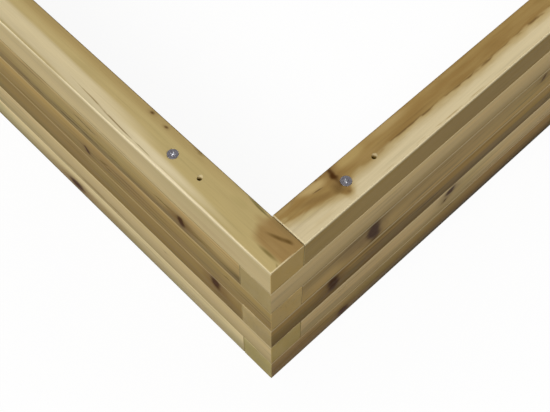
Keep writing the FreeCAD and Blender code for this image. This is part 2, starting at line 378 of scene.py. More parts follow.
class Stain:
    """A soft-edged zone of another colour, placed and sized as a knot is."""

    def __init__(self, along, depth, height, sizes, colour, strength=0.8, soft=0.8,
                 swing=0.0, slant=0.0, blunt=False, ragged=False):
        self.centre = (along * MM, depth * MM, height * MM)
        self.sizes = tuple(size * MM for size in sizes)
        self.colour = (*colour, 1)
        self.blunt = blunt
        self.ragged = ragged
        self.strength = strength
        self.soft = soft
        self.turn = (0, math.radians(slant), math.radians(swing))


class HeartEdge:
    """Heartwood that reaches a beam's top. Its edge runs through points: how far along
    the beam, and how deep from the outer face, in millimetres. From line_from on, a
    dark line follows it."""

    def __init__(self, points, colour, line_from):
        self.points = [(along * MM, depth * MM) for along, depth in points]
        self.colour = (*colour, 1)
        self.line_from = line_from * MM


class Check:
    """A drying crack in the outer face. Its place, half length, half width and bend
    are in millimetres."""

    def __init__(self, along, height, reach, width, tilt=0.0, bend=0.0):
        self.centre = Vector((along, 0.0, height)) * MM
        self.reach = reach * MM
        self.width = width * MM
        self.bend = bend * MM
        self.tilt = math.radians(tilt)

    def sizes(self, spread=1.0):
        return (self.reach, CHECK_DEPTH, self.width * spread)


class Timber:
    """The wood of one beam."""

    def __init__(self, seed, sap, top=None, end_grain=(0.45, 0.36, 0.17), heart=DARK_BROWN,
                 heart_strength=0.0, pith=(60, 20), heart_radius=30, ring_width=4.2,
                 ring_contrast=0.10, banding=0.45, green=0.2, lines=0.2, fade=0.0,
                 wear_and_highlight_share=0.25, heart_edge=None, knots=(), stains=(), checks=()):
        self.seed = seed
        self.sap = (*sap, 1)
        self.top = (*top, 1) if top else None
        self.end_grain = (*end_grain, 1)
        self.heart = (*heart, 1)
        self.heart_strength = heart_strength
        self.pith = (0, pith[0] * MM, pith[1] * MM)
        self.heart_radius = heart_radius * MM
        self.ring_width = ring_width * MM
        self.ring_contrast = ring_contrast
        self.banding = banding
        self.green = green
        self.lines = lines
        self.fade = fade
        # How strong the arrises' cream of rubbed wear and painted highlight is
        self.wear_and_highlight_share = wear_and_highlight_share
        self.heart_edge = heart_edge
        self.knots = list(knots)
        self.stains = list(stains)
        self.checks = list(checks)


def photographed_timbers():
    """The twelve beams that meet at the front-left corner, as the photograph has them
    for their first 330 mm or so."""
    timbers = {}
    timbers[6, "front"] = Timber(
        61, (0.44, 0.305, 0.116), top=(0.62, 0.515, 0.31), banding=0.10, ring_contrast=0.03, green=0.10,
        pith=(-30, -10), lines=0.08, wear_and_highlight_share=0.7,
        heart_edge=HeartEdge([(0, 34), (45, 30), (60, 25.5), (75, 23.5), (88, 21), (99, 18),
                              (110, 14.5), (116, 10.5), (121, 13), (127, 18.5), (139, 22), (160, 21),
                              (194, 22), (214, 22), (259, 21), (311, 20.5), (400, 22)],
                             (0.280, 0.170, 0.053), line_from=170),
        knots=[Knot(119, 43, 45, (5.0, 6, 9), dark=0.5, flame=2.6),
               Knot(118, 35, 45, (6.8, 9.5, 9), dark=0.85, flame=2.4),
               Knot(116, 25, 45, (5.0, 8, 5), dark=0.45, flame=2.5),
               Knot(117, 12, 45, (4.6, 4, 4), dark=0.30, flame=2.4),
               Knot(102, 43, 45, (2.0, 1.8, 3), dark=0.5)],
        stains=[Stain(92, 40, 45, (24, 8, 6), (0.47, 0.34, 0.145), 0.85, 0.7, swing=-14),
                Stain(60, 42, 45, (16, 4, 6), (0.36, 0.25, 0.098), 0.6, 0.7),
                Stain(50, 33, 45, (8, 4, 6), (0.42, 0.31, 0.13), 0.6, 0.7),
                Stain(68, 41, 45, (10, 1.6, 4), (0.27, 0.175, 0.065), 0.6, 0.8, swing=20),
                Stain(88, 27, 45, (32, 5.5, 5), (0.240, 0.143, 0.046), 0.75, 0.8, swing=-19),
                Stain(96, 33.5, 45, (9, 1.2, 4), (0.12, 0.07, 0.025), swing=-10),
                Stain(112, 22, 45, (12, 9, 5), (0.155, 0.088, 0.026), 0.85, 0.9, swing=-40),
                Stain(98, 44.5, 45, (6, 1.4, 4), (0.20, 0.125, 0.05), 0.7, 0.8),
                Stain(148, 40, 45, (30, 10, 8), (0.40, 0.28, 0.105), 0.9, 0.7),
                Stain(205, 40, 45, (44, 7, 6), (0.40, 0.28, 0.112), 0.85, 0.8),
                Stain(160, 29, 45, (22, 4, 6), (0.36, 0.235, 0.085), 0.6, 0.8),
                Stain(290, 41, 45, (50, 3.5, 6), (0.35, 0.235, 0.088), 0.6, 0.8, ragged=True),
                Stain(240, 3.4, 45, (110, 0.9, 3), (0.40, 0.29, 0.13), 0.8, 0.6, ragged=True),
                Stain(80, 8, 45, (30, 5, 4), (0.52, 0.41, 0.22), 0.4, 0.8, ragged=True),
                Stain(70, 20, 45, (16, 5, 4), (0.56, 0.46, 0.24), 0.5, 0.8),
                Stain(330, 0, 22, (210, 5, 40), (0.37, 0.25, 0.092), 0.75, 0.8)])
    timbers[6, "left"] = Timber(
        62, (0.70, 0.555, 0.29), top=(0.45, 0.345, 0.15), end_grain=(0.615, 0.424, 0.154), banding=0.16,
        ring_contrast=0.04, green=0.12, pith=(-20, -40), lines=0.07, wear_and_highlight_share=0.9,
        knots=[Knot(193, 39, 45, (4.2, 3.2, 4), dark=0.6, flame=1.8),
               Knot(217, 40.5, 45, (5.2, 3.6, 4), dark=0.6, flame=2.0)],
        stains=[Stain(225, 7, 45, (190, 10, 6), (0.66, 0.56, 0.35), 0.97, 0.7),
                Stain(430, 13, 45, (270, 13, 6), (0.60, 0.50, 0.30), 0.9, 0.5, blunt=True),
                Stain(380, 46, 45, (340, 16, 6), (0.34, 0.24, 0.093), 0.85, 0.8, blunt=True),
                Stain(15, 31, 45, (36, 19, 10), (0.288, 0.175, 0.060), 0.90, 0.34, blunt=True),
                Stain(47, 34, 45, (16, 6, 6), (0.34, 0.225, 0.088), 0.6, 0.9),
                Stain(24, 42, 45, (25, 4, 6), (0.25, 0.165, 0.060), 0.6, 0.8),
                Stain(20, 22, 45, (16, 4, 6), (0.34, 0.225, 0.086), 0.5, 0.9),
                Stain(21, 32.5, 45, (19, 3.4, 4), (0.12, 0.066, 0.016), 0.9, 0.9, swing=-19),
                Stain(12, 36, 45, (9, 3.6, 4), (0.12, 0.066, 0.016), 0.9, 0.9, swing=-19),
                Stain(16, 14, 45, (18, 2.8, 4), (0.19, 0.14, 0.042), 0.9, 0.9),
                Stain(-3, 9, 45, (9, 1.8, 4), (0.22, 0.16, 0.05), 0.8, 0.9, swing=29),
                # The next three run along the inner edge: brown stains with painted shade where the inner
                # arris turns from the light
                Stain(56, 41.5, 45, (18, 1.7, 5), (0.15, 0.115, 0.035), 0.85, 0.8),
                Stain(74, 43, 45, (30, 2.6, 6), OLIVE, 0.9, 0.7, ragged=True),
                Stain(143, 43, 45, (24, 6, 6), (0.22, 0.15, 0.055), 0.85, 0.8, ragged=True),
                Stain(78, 33, 45, (16, 7, 6), (0.38, 0.30, 0.12), 0.4, 0.8),
                Stain(228, 6.0, 45, (92, 1.0, 4), (0.22, 0.15, 0.055), 0.85, 0.7, swing=2.5, ragged=True),
                Stain(272, 8.5, 45, (50, 0.9, 4), (0.30, 0.21, 0.09), 0.7, 0.7, swing=2, ragged=True),
                Stain(250, 0, 6, (120, 4, 2.0), (0.42, 0.30, 0.13), 0.7, 0.8, ragged=True),
                Stain(90, 0, 14, (90, 4, 8), (0.60, 0.46, 0.24), 0.6, 0.8),
                # A painted highlight along the outer top arris
                Stain(170, 0.5, 45, (190, 2.2, 3.5), (0.84, 0.72, 0.50), 0.75, 0.7)])
    timbers[5, "front"] = Timber(
        51, (0.67, 0.495, 0.238), end_grain=(0.452, 0.344, 0.151), banding=0.24,
        ring_contrast=0.08, pith=(-12, 60), lines=0.15, fade=0.32, wear_and_highlight_share=0.4,
        stains=[Stain(250, 0, 4, (260, 5, 16), (0.52, 0.37, 0.165))])
    timbers[5, "left"] = Timber(
        52, (0.385, 0.268, 0.106), banding=0.40, ring_contrast=0.16,
        pith=(-20, 50), ring_width=4.8, lines=0.35, fade=0.45,
        knots=[Knot(134, 0, 17, (9.0, 22, 15), slant=4, flame=3.6)],
        stains=[Stain(75, 0, 28, (34, 5, 18), (0.46, 0.335, 0.14), 0.6, 0.8),
                Stain(340, 0, 9, (110, 5, 3.2), (0.15, 0.088, 0.028), 0.75, 0.8, blunt=True, ragged=True),
                Stain(200, 0, 8, (60, 5, 2.2), (0.18, 0.11, 0.038), 0.6, 0.8, ragged=True),
                Stain(300, 0, 16, (70, 5, 1.6), (0.15, 0.095, 0.034), slant=1.5, ragged=True),
                Stain(230, 0, 21, (60, 5, 1.2), (0.20, 0.13, 0.045), 0.6, 0.8, slant=-1, ragged=True),
                Stain(112, 0, 17, (40, 5, 10), (0.29, 0.195, 0.074), 0.45, 0.8),
                Stain(95, 0, 8, (60, 5, 7), (0.52, 0.36, 0.145), 0.65, 0.8),
                Stain(290, 0, 36, (70, 5, 14), (0.34, 0.235, 0.095), 0.6, 0.9)],
        checks=[Check(163, 22, 17, 0.8, tilt=-3, bend=1.0), Check(107, 15, 16, 0.8, tilt=3, bend=-0.8),
                Check(290, 32, 24, 0.7, tilt=-4, bend=1.2), Check(245, 12, 12, 0.5)])
    timbers[4, "front"] = Timber(
        41, (0.485, 0.330, 0.128), end_grain=(0.455, 0.325, 0.141), banding=0.32,
        ring_contrast=0.12, pith=(-40, 20), lines=0.3, fade=-0.22, wear_and_highlight_share=0.5,
        knots=[Knot(154, 0, 24, (17.0, 36, 38), slant=-10, flame=1.9)],
        stains=[Stain(250, 0, 15, (90, 5, 7), (0.38, 0.255, 0.10), 0.6, 0.8),
                Stain(300, 0, 28, (80, 5, 1.4), (0.24, 0.155, 0.06), 0.7, 0.7, ragged=True),
                Stain(124, 0, 20, (38, 5, 22), (0.31, 0.20, 0.078))])
    timbers[4, "left"] = Timber(
        42, (0.43, 0.292, 0.106), end_grain=(0.62, 0.433, 0.165), banding=0.30, ring_contrast=0.10,
        pith=(-15, -30), lines=0.25, fade=0.28,
        knots=[Knot(299, 0, 15, (6.0, 16, 10), slant=10, flame=2.6)],
        stains=[Stain(250, 0, 31, (100, 5, 16), (0.36, 0.24, 0.10), 0.6, 0.8),
                Stain(40, 0, 24, (60, 5, 24), (0.49, 0.335, 0.123), 0.6, 0.8)],
        checks=[Check(67, 30, 6, 0.8, tilt=-2), Check(269, 22, 8, 0.8, tilt=10, bend=0.6),
                Check(262, 17, 6, 0.6, tilt=8)])
    timbers[3, "front"] = Timber(
        31, (0.385, 0.245, 0.084), end_grain=(0.478, 0.357, 0.159), banding=0.50, ring_contrast=0.16,
        green=0.15, pith=(-10, 10), ring_width=6.0, lines=0.3, fade=0.65, wear_and_highlight_share=0.5,
        knots=[Knot(93, 0, 27, (14.5, 34, 29), slant=-8, flame=2.3)],
        stains=[Stain(230, 0, 37, (90, 5, 8), (0.42, 0.29, 0.12), 0.5, 0.9),
                Stain(300, 0, 8, (180, 5, 7), (0.25, 0.158, 0.056), 0.6, 0.8),
                Stain(75, 0, 12, (18, 4, 2), DARK_BROWN, 0.5, 0.9),
                Stain(132, 0, 30, (34, 4, 18), (0.46, 0.30, 0.105), 0.4, 0.9)])
    timbers[3, "left"] = Timber(
        32, (0.285, 0.190, 0.066), end_grain=(0.47, 0.348, 0.150), banding=0.28, ring_contrast=0.08,
        pith=(-45, 25), lines=0.25, fade=0.25,
        knots=[Knot(88, 0, 33, (12.5, 24, 18), slant=8, flame=2.5)],
        stains=[Stain(62, 0, 4, (12, 4, 2.0), DARK_BROWN, 0.6, 0.9),
                Stain(74, 0, 20, (30, 4, 20), (0.24, 0.155, 0.056), 0.75, 0.8),
                Stain(170, 0, 3, (110, 4, 3), (0.20, 0.13, 0.045), 0.6, 0.8)],
        checks=[Check(144, 1.6, 34, 0.7)])
    timbers[2, "front"] = Timber(
        21, (0.655, 0.475, 0.226), end_grain=(0.455, 0.342, 0.152), banding=0.30, ring_contrast=0.10,
        green=0.35, pith=(-35, 5), lines=0.2, fade=0.30, wear_and_highlight_share=0.4,
        knots=[Knot(293, 0, 36, (14.0, 18, 13), slant=-22, dark=0.95, flame=2.4),
               Knot(284, 0, 22, (5.0, 14, 6), slant=-30, dark=0.6, flame=2.6)],
        stains=[Stain(250, 0, 6, (160, 4, 8), (0.50, 0.35, 0.155), 0.7, 0.8),
                Stain(300, 0, 24, (60, 4, 22), (0.46, 0.33, 0.145), 0.6, 0.9)],
        checks=[Check(110, 31, 9, 0.7, tilt=-6, bend=0.8)])
    timbers[2, "left"] = Timber(
        22, (0.56, 0.432, 0.217), end_grain=(0.546, 0.402, 0.144), banding=0.26, ring_contrast=0.06,
        green=0.15, pith=(-25, 60), lines=0.15, fade=0.36,
        knots=[Knot(175, 0, 25, (3.0, 8, 1.6), dark=0.35, flame=3.0)],
        stains=[Stain(300, 0, 8, (110, 5, 5), (0.33, 0.225, 0.09), 0.7, 0.8, ragged=True)])
    timbers[1, "front"] = Timber(
        11, (0.312, 0.195, 0.074), end_grain=(0.435, 0.354, 0.144), banding=0.36, ring_contrast=0.10,
        green=0.3, pith=(-30, -20), lines=0.3, fade=0.45, wear_and_highlight_share=0.4,
        knots=[Knot(116, 0, 11, (16.0, 18, 15), slant=-12, flame=1.7)],
        # Darker towards the ground: dirt and painted shade, and lowest a painted contact shadow along the
        # foot
        stains=[Stain(600, 0, 0, (640, 6, 26), (0.16, 0.103, 0.040), 0.85, 0.7, blunt=True),
                Stain(600, 0, 0, (640, 3, 10), (0.04, 0.026, 0.010), 0.9, 0.8, blunt=True),
                Stain(296, 0, 40, (16, 5, 2.2), (0.12, 0.07, 0.03)),
                Stain(110, 0, 34, (44, 4, 12), (0.42, 0.27, 0.105), 0.5, 0.9),
                Stain(300, 0, 26, (80, 4, 20), (0.25, 0.145, 0.055), 0.4, 0.9)])
    timbers[1, "left"] = Timber(
        12, (0.70, 0.57, 0.305), end_grain=(0.415, 0.32, 0.141), banding=0.24, ring_contrast=0.05,
        green=0.45, pith=(-25, -30), lines=0.15, fade=0.5,
        knots=[Knot(349, 0, 14, (23.0, 15, 14), slant=4, flame=2.0)],
        stains=[Stain(330, 0, 14, (170, 5, 24), (0.50, 0.36, 0.160)),
                # A painted contact shadow along the foot
                Stain(600, 0, 0, (640, 3, 8), (0.30, 0.22, 0.09), blunt=True)])
    return timbers


def other_timber(rng, seed):
    """A beam that the photograph doesn't show, in a colour of the same batch."""
    sap = Vector(BATCH_DARK).lerp(Vector(BATCH_PALE), rng.random())
    return Timber(seed, sap, end_grain=tuple(sap * 0.85), heart_strength=rng.choice((0.0, 0.5, 0.8)),
                  heart=tuple(sap * 0.55), pith=(rng.uniform(-25, 65), rng.uniform(-25, 65)),
                  heart_radius=rng.uniform(22, 40), banding=rng.uniform(0.3, 0.55),
                  green=rng.uniform(0.2, 0.5), ring_width=rng.uniform(3.2, 5.5))


def grow_more(rng, timber, start, end):
    """Scatter knots on all four faces, and drying checks, from start to end in mm."""
    along = start + rng.uniform(30, 120)
    while along < end - 30:
        side = rng.choice(("outer", "inner", "top", "bottom"))
        wide, tall, deep = rng.uniform(3.5, 8), rng.uniform(4, 11), rng.uniform(12, 24)
        across = rng.uniform(8, 37)
        dark = rng.uniform(0.55, 1.0)
        if side in ("outer", "inner"):
            depth = 0 if side == "outer" else 45
            timber.knots.append(Knot(along, depth, across, (wide, deep, tall), rng.uniform(-15, 15), dark))
        else:
            height = 45 if side == "top" else 0
            timber.knots.append(Knot(along, across, height, (wide, tall, deep), 0, dark))
        along += rng.uniform(120, 300)
    for _ in range(int((end - start) / 260)):
        timber.checks.append(Check(rng.uniform(start + 40, end - 40), rng.uniform(6, 39), rng.uniform(6, 22),
                                   rng.uniform(0.35, 0.6), tilt=rng.uniform(-5, 5), bend=rng.uniform(-1, 1)))


# -------------------- pine

def grain(along, across):
    """A pattern's repeats a metre along a beam, and across it both ways."""
    return (along, across, across)


def near_top(wires, high, start, full):
    """0 up to start below a beam's top, and 1 from full below it on."""
    return wires.step(high, BEAM_HEIGHT - start, BEAM_HEIGHT - full)


def stray(wires, grown, repeats, reach):
    """A drift to either side, by half of reach at most."""
    drift = wires.noise(grown, repeats, colour=True)
    drift = wires.vector("SUBTRACT", drift, (0.5, 0.5, 0.5))
    return wires.vector("MULTIPLY", drift, reach)


def grow_knots(wires, wobbly, knots):
    """The dark cores of the knots, and the flames of brown wood around them."""
    cores, halos = [], []
    for knot in knots:
        turn = (0, knot.slant, 0)
        long, wide, tall = knot.sizes
        flame = (long * knot.flame, wide * HALO_GIRTH, tall * HALO_GIRTH)
        cores.append(wires.times(wires.blot(wobbly, knot.centre, knot.sizes, turn, 0.95), knot.dark))
        halos.append(wires.times(wires.blot(wobbly, knot.centre, flame, turn, 1.0), knot.dark))
    return wires.total(cores), wires.total(halos)


def grow_rings(wires, timber, place, grown, ripple, halo):
    """Yearly rings about the pith, pushed aside by the knots: how far out, and how much
    of a year's late wood, each place is."""
    spoke = wires.vector("SUBTRACT", place, timber.pith)
    spoke = wires.vector("ADD", spoke, stray(wires, grown, grain(1.6, 7.0), RING_DRIFT))
    radius = wires.vector("LENGTH", wires.vector("MULTIPLY", spoke, (0, 1, 1)))
    radius = wires.math("MULTIPLY_ADD", ripple, RING_RIPPLE, radius)
    if halo is not None:
        radius = wires.math("MULTIPLY_ADD", halo, -RING_PUSH, radius)
    year = wires.math("FRACT", wires.math("DIVIDE", radius, timber.ring_width))
    late = wires.times(wires.math("POWER", year, 3.0), wires.step(year, 1.0, 0.90))
    return radius, late


def show_heart(wires, place, high, heart_edge, colour, ragged):
    """Heartwood on the top, with tan wood outside its edge and a broken dark line on it."""
    along, deep, _ = wires.split(place)
    past = wires.math("SUBTRACT", deep, wires.curve(along, heart_edge.points))
    past = wires.math("MULTIPLY_ADD", ragged, 1.6 * MM, past)
    on_top = near_top(wires, high, 2.5 * MM, 0.5 * MM)
    tan = wires.times(wires.step(past, -10 * MM, 2 * MM), on_top, 0.8)
    colour = wires.mix(tan, colour, HEART_TAN)
    patchy = wires.step(wires.noise(place, grain(16.0, 110.0)), 0.35, 0.65, 0.0, 0.38)
    within = wires.mix(patchy, heart_edge.colour, HEART_TAN)
    colour = wires.mix(wires.times(wires.step(past, -1 * MM, 4 * MM), on_top), colour, within)
    off_line = wires.gap(past, 2.5 * MM)
    begun = wires.step(along, heart_edge.line_from, heart_edge.line_from + 40 * MM, 0.0, 0.8)
    line = wires.times(wires.step(off_line, 1.8 * MM, 0.2 * MM), ragged, on_top, begun)
    return wires.mix(line, colour, HEART_LINE)


def show_growth(wires, timber, wobbly, grown, high, radius, colour):
    """Heartwood, the green of the treatment and stains over the sapwood."""
    heart = wires.step(radius, timber.heart_radius + 4 * MM, timber.heart_radius - 4 * MM)
    colour = wires.mix(wires.times(heart, timber.heart_strength), colour, timber.heart)
    cloud = wires.noise(grown, grain(5.0, 16.0), detail=1.0)
    colour = wires.mix(wires.step(cloud, 0.50, 0.78, 0.0, timber.green), colour, TREATED_GREEN)
    ragged = wires.step(wires.noise(grown, grain(38.0, 150.0)), 0.40, 0.58)
    if timber.heart_edge is not None:
        colour = show_heart(wires, wobbly, high, timber.heart_edge, colour, ragged)
    for stain in timber.stains:
        share = wires.blot(wobbly, stain.centre, stain.sizes, stain.turn, stain.soft, stain.blunt)
        if stain.ragged:
            share = wires.times(share, ragged)
        colour = wires.mix(wires.times(share, stain.strength), colour, stain.colour)
    return colour


def shade_grain(wires, timber, grown, high, streak, fibre, late):
    """Lighter and darker grain, thin pencil lines, a faint mottle, and dirt with painted shade that changes
    with height, to multiply by.
    """
    band = wires.step(wires.noise(grown, grain(1.3, 26.0), detail=1.0), 0.30, 0.70)
    light = wires.math("MULTIPLY_ADD", band, timber.banding, 1.0 - 0.75 * timber.banding - 0.08)
    light = wires.math("MULTIPLY_ADD", streak, 0.5 * timber.banding, light)
    light = wires.math("MULTIPLY_ADD", fibre, 0.16, light)
    light = wires.math("MULTIPLY_ADD", late, -timber.ring_contrast, light)
    pencil = wires.step(wires.noise(grown, grain(9.0, 230.0), detail=1.0), 0.58, 0.72)
    light = wires.math("MULTIPLY_ADD", pencil, -timber.lines, light)
    # Darker towards the bottom of the beam and lighter towards its top: dirt and painted shade
    dirt_and_shade = wires.step(high, 0.0, BEAM_HEIGHT, 1.0 - timber.fade / 2, 1.0 + timber.fade / 2)
    light = wires.times(light, dirt_and_shade)
    mottle = wires.noise(grown, grain(26.0, 60.0), colour=True)
    return wires.mix(0.11, wires.join(light, light, light), mottle, blend="OVERLAY")


def finish_arrises(wires, beam, timber, place, end_gap, streak, ripple, colour):
    """Brown painted shade on the inner arrises, the lower outer arrises and the seams, and
    outer arrises and end chamfers rubbed cream with a painted highlight. end_gap is how far
    the nearer end of the beam is."""
    _, deep, high = wires.split(place)
    off_axis = wires.math("MINIMUM", wires.gap(deep, BEAM_WIDTH / 2), wires.gap(high, BEAM_HEIGHT / 2))
    rounding = wires.step(off_axis, BEAM_WIDTH / 2 - ARRIS_RADIUS, BEAM_WIDTH / 2 - 0.6 * ARRIS_RADIUS)
    inner_half = wires.step(deep, 0.5 * BEAM_WIDTH, 0.6 * BEAM_WIDTH)
    outer_half = wires.step(deep, 0.6 * BEAM_WIDTH, 0.5 * BEAM_WIDTH)

    # Painted shade on the inner arrises, which turn away from the light, broken by the grain's streaks
    inner = wires.times(rounding, inner_half, wires.step(streak, 0.0, 1.0, 0.35, 0.9))
    colour = wires.mix(inner, colour, EDGE_SHADE_BROWN)
    # Painted shade on the lower outer arris, under each beam
    foot = wires.times(wires.step(high, 2.6 * MM, 1.0 * MM), outer_half, 0.5)
    colour = wires.mix(foot, colour, EDGE_SHADE_BROWN)

    # A painted highlight with rubbed wear along the top of the outer face
    brow_highlight = wires.times(near_top(wires, high, 5 * MM, 2 * MM), 0.9)
    wear_and_highlight = wires.times(brow_highlight, wires.step(deep, 1.4 * MM, 0.6 * MM))
    if beam.course == COURSES:
        # On the rim course the upper outer arris gets the painted highlight too
        rounded = wires.times(rounding, outer_half, near_top(wires, high, 20 * MM, 5 * MM))
        wear_and_highlight = wires.math("MAXIMUM", wear_and_highlight, rounded)
    else:
        # Painted shade in the seam at the top of each lower course, under the beam above, where the painted
        # highlight is left out
        seam_shade = wires.times(near_top(wires, high, 1.1 * MM, 0.4 * MM), outer_half)
        colour = wires.mix(wires.times(seam_shade, 0.6), colour, EDGE_SHADE_BROWN)
        wear_and_highlight = wires.times(wear_and_highlight, wires.math("SUBTRACT", 1.0, seam_shade))
    wear_and_highlight = wires.times(wear_and_highlight, wires.step(ripple, 0.15, 0.55, 0.55, 1.0))

    # The upper lip of each end, and the rim round the sawn face: a painted highlight on the end chamfers,
    # with rubbed wear
    lip_width = 0.3 * MM if beam.through else 1.6 * MM
    lip_highlight = wires.step(end_gap, lip_width, 0.35 * lip_width)
    lip_highlight = wires.times(lip_highlight, near_top(wires, high, 2.0 * MM, 0.7 * MM), 0.8)
    wear_and_highlight = wires.math("MAXIMUM", wear_and_highlight, lip_highlight)
    rim = wires.times(wires.step(end_gap, 0.1 * MM, 0.3 * MM), wires.step(end_gap, 1.6 * MM, 1.0 * MM))
    rim = wires.times(rim, wires.step(deep, 0.8 * BEAM_WIDTH, 0.4 * BEAM_WIDTH))
    rim = wires.times(rim, wires.step(deep, 0.5 * MM, 1.5 * MM, 0.0, 0.6))
    wear_and_highlight = wires.math("MAXIMUM", wear_and_highlight, rim)
    # All the cream is rubbed wear and a painted highlight
    return wires.mix(wires.times(wear_and_highlight, timber.wear_and_highlight_share), colour, ARRIS_WEAR_AND_HIGHLIGHT)


def show_holes(wires, place, beam, colour):
    """Painted shade down the empty holes, and pale torn fibres at their mouths with a painted highlight on
    the far side.
    """
    shade_radius, shade_reach = 5.0 * MM, 12.0 * MM
    torn_sizes = [1.15 * size for size in TEAR_SIZES]
    for along in beam.holes(far=not beam.through):
        mouth = Vector((along, BEAM_WIDTH / 2, BEAM_HEIGHT))
        inside = mouth - Vector((0, 0, shade_reach + MM))
        # Painted shade down the hole
        dark = wires.blot(place, inside, (shade_radius, shade_radius, shade_reach), (0, 0, 0), 0.1)
        colour = wires.mix(dark, colour, HOLE_SHADE)
        # Pale torn fibres, and a painted highlight where the far wall of the mouth faces the light
        torn = wires.blot(place, mouth + beam.tear_away(), torn_sizes, (0, 0, 0), 0.35)
        colour = wires.mix(wires.times(torn, 0.9), colour, TORN_FIBRE_AND_HIGHLIGHT)
    return colour


def pine(beam, timber):
    """Treated pine of one beam, with its own rings, knots and stains."""
    material, wires = new_material(f"pine_of_{beam.node}")
    place = beam.axes(wires)
    along, _, high = wires.split(place)

    # Each seed takes its patterns from another place in the noise, and outlines of
    # knots and stains wander with the grain.
    start = timber.seed * 0.731
    grown = wires.place(place, shift=(start, start * 0.37, start * 0.61))
    wobbly = wires.vector("ADD", place, stray(wires, grown, grain(9.0, 70.0), OUTLINE_WANDER))
    core, halo = grow_knots(wires, wobbly, timber.knots)
    ripple = wires.noise(grown, grain(14.0, 110.0), detail=1.0)
    streak = wires.noise(grown, grain(2.2, 75.0), detail=3.0, roughness=0.55)
    streak = wires.step(streak, 0.28, 0.72)
    fibre = wires.noise(grown, grain(28.0, 850.0), roughness=0.6)
    radius, late = grow_rings(wires, timber, place, grown, ripple, halo)

    colour = timber.sap
    if timber.top is not None:
        colour = wires.mix(near_top(wires, high, 2.5 * MM, 0.5 * MM), timber.sap, timber.top)
    colour = show_growth(wires, timber, wobbly, grown, high, radius, colour)
    shade = shade_grain(wires, timber, grown, high, streak, fibre, late)
    colour = wires.mix(1.0, colour, shade, blend="MULTIPLY")
    if halo is not None:
        flame = wires.times(halo, wires.math("MULTIPLY_ADD", streak, 0.5, 0.5))
        colour = wires.mix(flame, colour, KNOT_HALO)
        colour = wires.mix(wires.step(core, 0.0, 0.85), colour, KNOT_HEART)

    # Sawn ends
    end_gap = wires.gap(wires.gap(along, beam.middle), beam.half)
    sawn = wires.mix(0.35, timber.end_grain, shade, blend="MULTIPLY")
    colour = wires.mix(wires.step(end_gap, END_CHAMFER, END_CHAMFER / 3), colour, sawn)
    colour = finish_arrises(wires, beam, timber, place, end_gap, streak, ripple, colour)

    # Painted shade in and around the drying checks, over their cut geometry
    crack_shades = []
    for check in timber.checks:
        turn = (0, check.tilt, 0)
        crack_shades.append(wires.blot(place, check.centre, check.sizes(spread=1.6), turn, 0.7))
    if crack_shades:
        colour = wires.mix(wires.times(wires.total(crack_shades), 0.85), colour, CHECK_SHADE)
    if beam.course == COURSES:
        colour = show_holes(wires, place, beam, colour)

    height = wires.math("MULTIPLY_ADD", fibre, 0.6, wires.times(late, 0.5))
    if core is not None:
        height = wires.math("MULTIPLY_ADD", core, 0.8, height)
    roughness = wires.step(streak, 0.2, 0.8, 0.52, 0.68)
    finish_surface(wires, colour, roughness, height=height, depth=0.15 * MM, Specular_IOR_Level=0.03)
    return material


# -------------------- sawing and drilling

def add_drill(cutters, along, low, high, diameter):
    """A round cutter in the middle of the beam's width, from low to high."""
    middle = Vector((along, BEAM_WIDTH / 2, (low + high) / 2))
    bmesh.ops.create_cone(cutters, cap_ends=True, segments=32, radius1=diameter / 2,
                          radius2=diameter / 2, depth=high - low, matrix=Matrix.Translation(middle))


def add_countersink(cutters, along):
    """A 90 degree cone that opens the top of a screw's bore."""
    slope = (COUNTERSINK_DIAMETER - SHANK_BORE) / 2
    foot = BEAM_HEIGHT - slope
    middle = Vector((along, BEAM_WIDTH / 2, foot + (slope + OVERCUT) / 2))
    bmesh.ops.create_cone(cutters, cap_ends=True, segments=32, radius1=SHANK_BORE / 2,
                          radius2=COUNTERSINK_DIAMETER / 2 + OVERCUT, depth=slope + OVERCUT,
                          matrix=Matrix.Translation(middle))


def add_tear(cutters, beam, along):
    """A shallow dish where the drill tore the mouth of an empty hole."""
    dish = bmesh.ops.create_icosphere(cutters, subdivisions=3, radius=1.0)["verts"]
    bmesh.ops.scale(cutters, vec=TEAR_SIZES, verts=dish)
    mouth = Vector((along, BEAM_WIDTH / 2, BEAM_HEIGHT))
    bmesh.ops.translate(cutters, vec=mouth + beam.tear_away(), verts=dish)


def add_check(cutters, check):
    """A thin lens that opens a drying crack, bent a little along its length."""
    lens = bmesh.ops.create_icosphere(cutters, subdivisions=2, radius=1.0)["verts"]
    bmesh.ops.scale(cutters, vec=check.sizes(), verts=lens)
    for vert in lens:
        vert.co.z += check.bend * (vert.co.x / check.reach) ** 2
    turn = Matrix.Rotation(check.tilt, 4, "Y")
    bmesh.ops.transform(cutters, matrix=Matrix.Translation(check.centre) @ turn, verts=lens)


def beam_cutters(beam, timber):
    """Everything that is cut out of a beam."""
    cutters = bmesh.new()
    top = BEAM_HEIGHT + OVERCUT
    has_screws = beam.course > 1
    is_covered = beam.course < COURSES
    for along in beam.holes(far=beam.through):
        add_drill(cutters, along, -OVERCUT, top, SHANK_BORE if has_screws else PILOT_DIAMETER)
        if has_screws:
            add_countersink(cutters, along)
    for along in beam.holes(far=not beam.through):
        add_drill(cutters, along, -OVERCUT, top, PILOT_DIAMETER)
        if is_covered:
            add_drill(cutters, along, BEAM_HEIGHT - SCREW_BITE, top, SHANK_BORE)
        else:
            add_tear(cutters, beam, along)
    for along in beam.dowels():
        if is_covered:
            add_drill(cutters, along, BEAM_HEIGHT - DOWEL_BORE_DEPTH, top, DOWEL_BORE)
        if has_screws:
            add_drill(cutters, along, -OVERCUT, DOWEL_BORE_DEPTH, DOWEL_BORE)
    for check in timber.checks:
        add_check(cutters, check)
    return cutters


